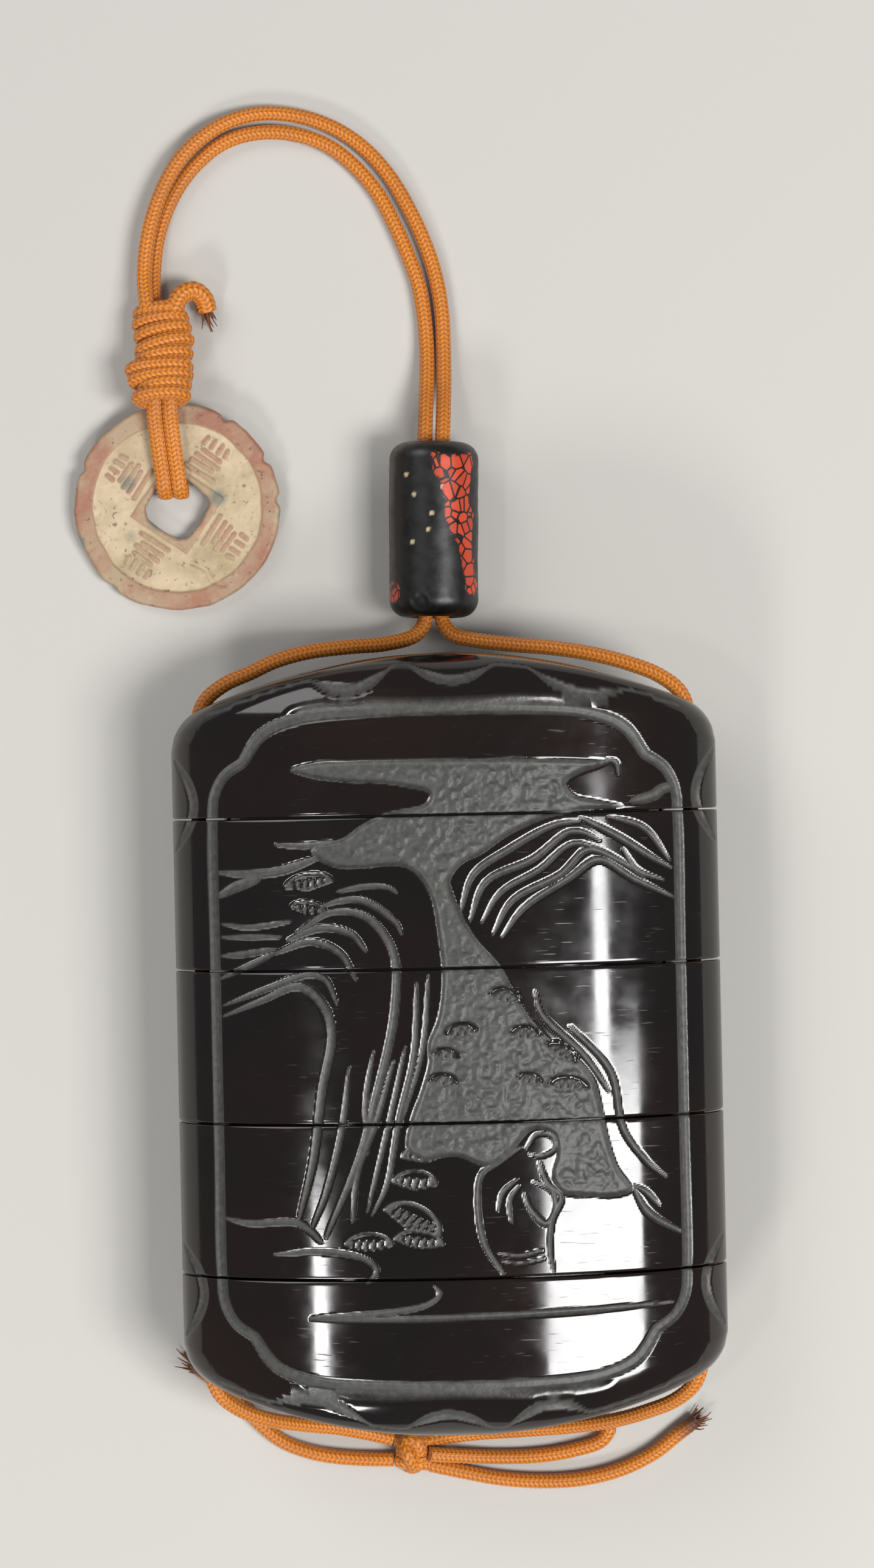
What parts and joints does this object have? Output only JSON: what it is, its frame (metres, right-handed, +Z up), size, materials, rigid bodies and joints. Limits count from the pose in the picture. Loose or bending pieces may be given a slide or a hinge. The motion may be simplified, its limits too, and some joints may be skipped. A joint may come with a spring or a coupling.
{
  "type": "inro case",
  "caption": "Lens-shaped inro of stacked hollow sections with a carved landscape, strung on a silk cord with a bead and a coin toggle, lying on its back.",
  "frame": {"origin": "middle of the case, on the surface that its back lies on", "axes": "+Y along the case towards the lid, +Z up out of the carved face, +X to the right as the face is read"},
  "size_m": [0.0727, 0.1606, 0.024],
  "materials": {
    "lacquer": "dark brown, nearly black, polished like glass, with the carving left matt and grey",
    "bead": "satin black with a patch of vermilion cells",
    "coin": "worn bronze under a pale cream patina",
    "silk_cord": "braided orange silk"
  },
  "bodies": {
    "root": {"lid": "lacquer", "tier_1": "lacquer", "tier_2": "lacquer", "tier_3": "lacquer", "tier_4": "lacquer", "ojime_bead": "bead", "netsuke_coin": "coin", "netsuke_knot": "silk_cord", "netsuke_knot_end": "silk_cord", "netsuke_loop_left": "silk_cord", "netsuke_loop_right": "silk_cord", "cord_left": "silk_cord", "cord_right": "silk_cord", "bottom_knot": "silk_cord", "tail_left": "silk_cord", "tail_right": "silk_cord", "loop_right": "silk_cord"}
  },
  "joints": []
}
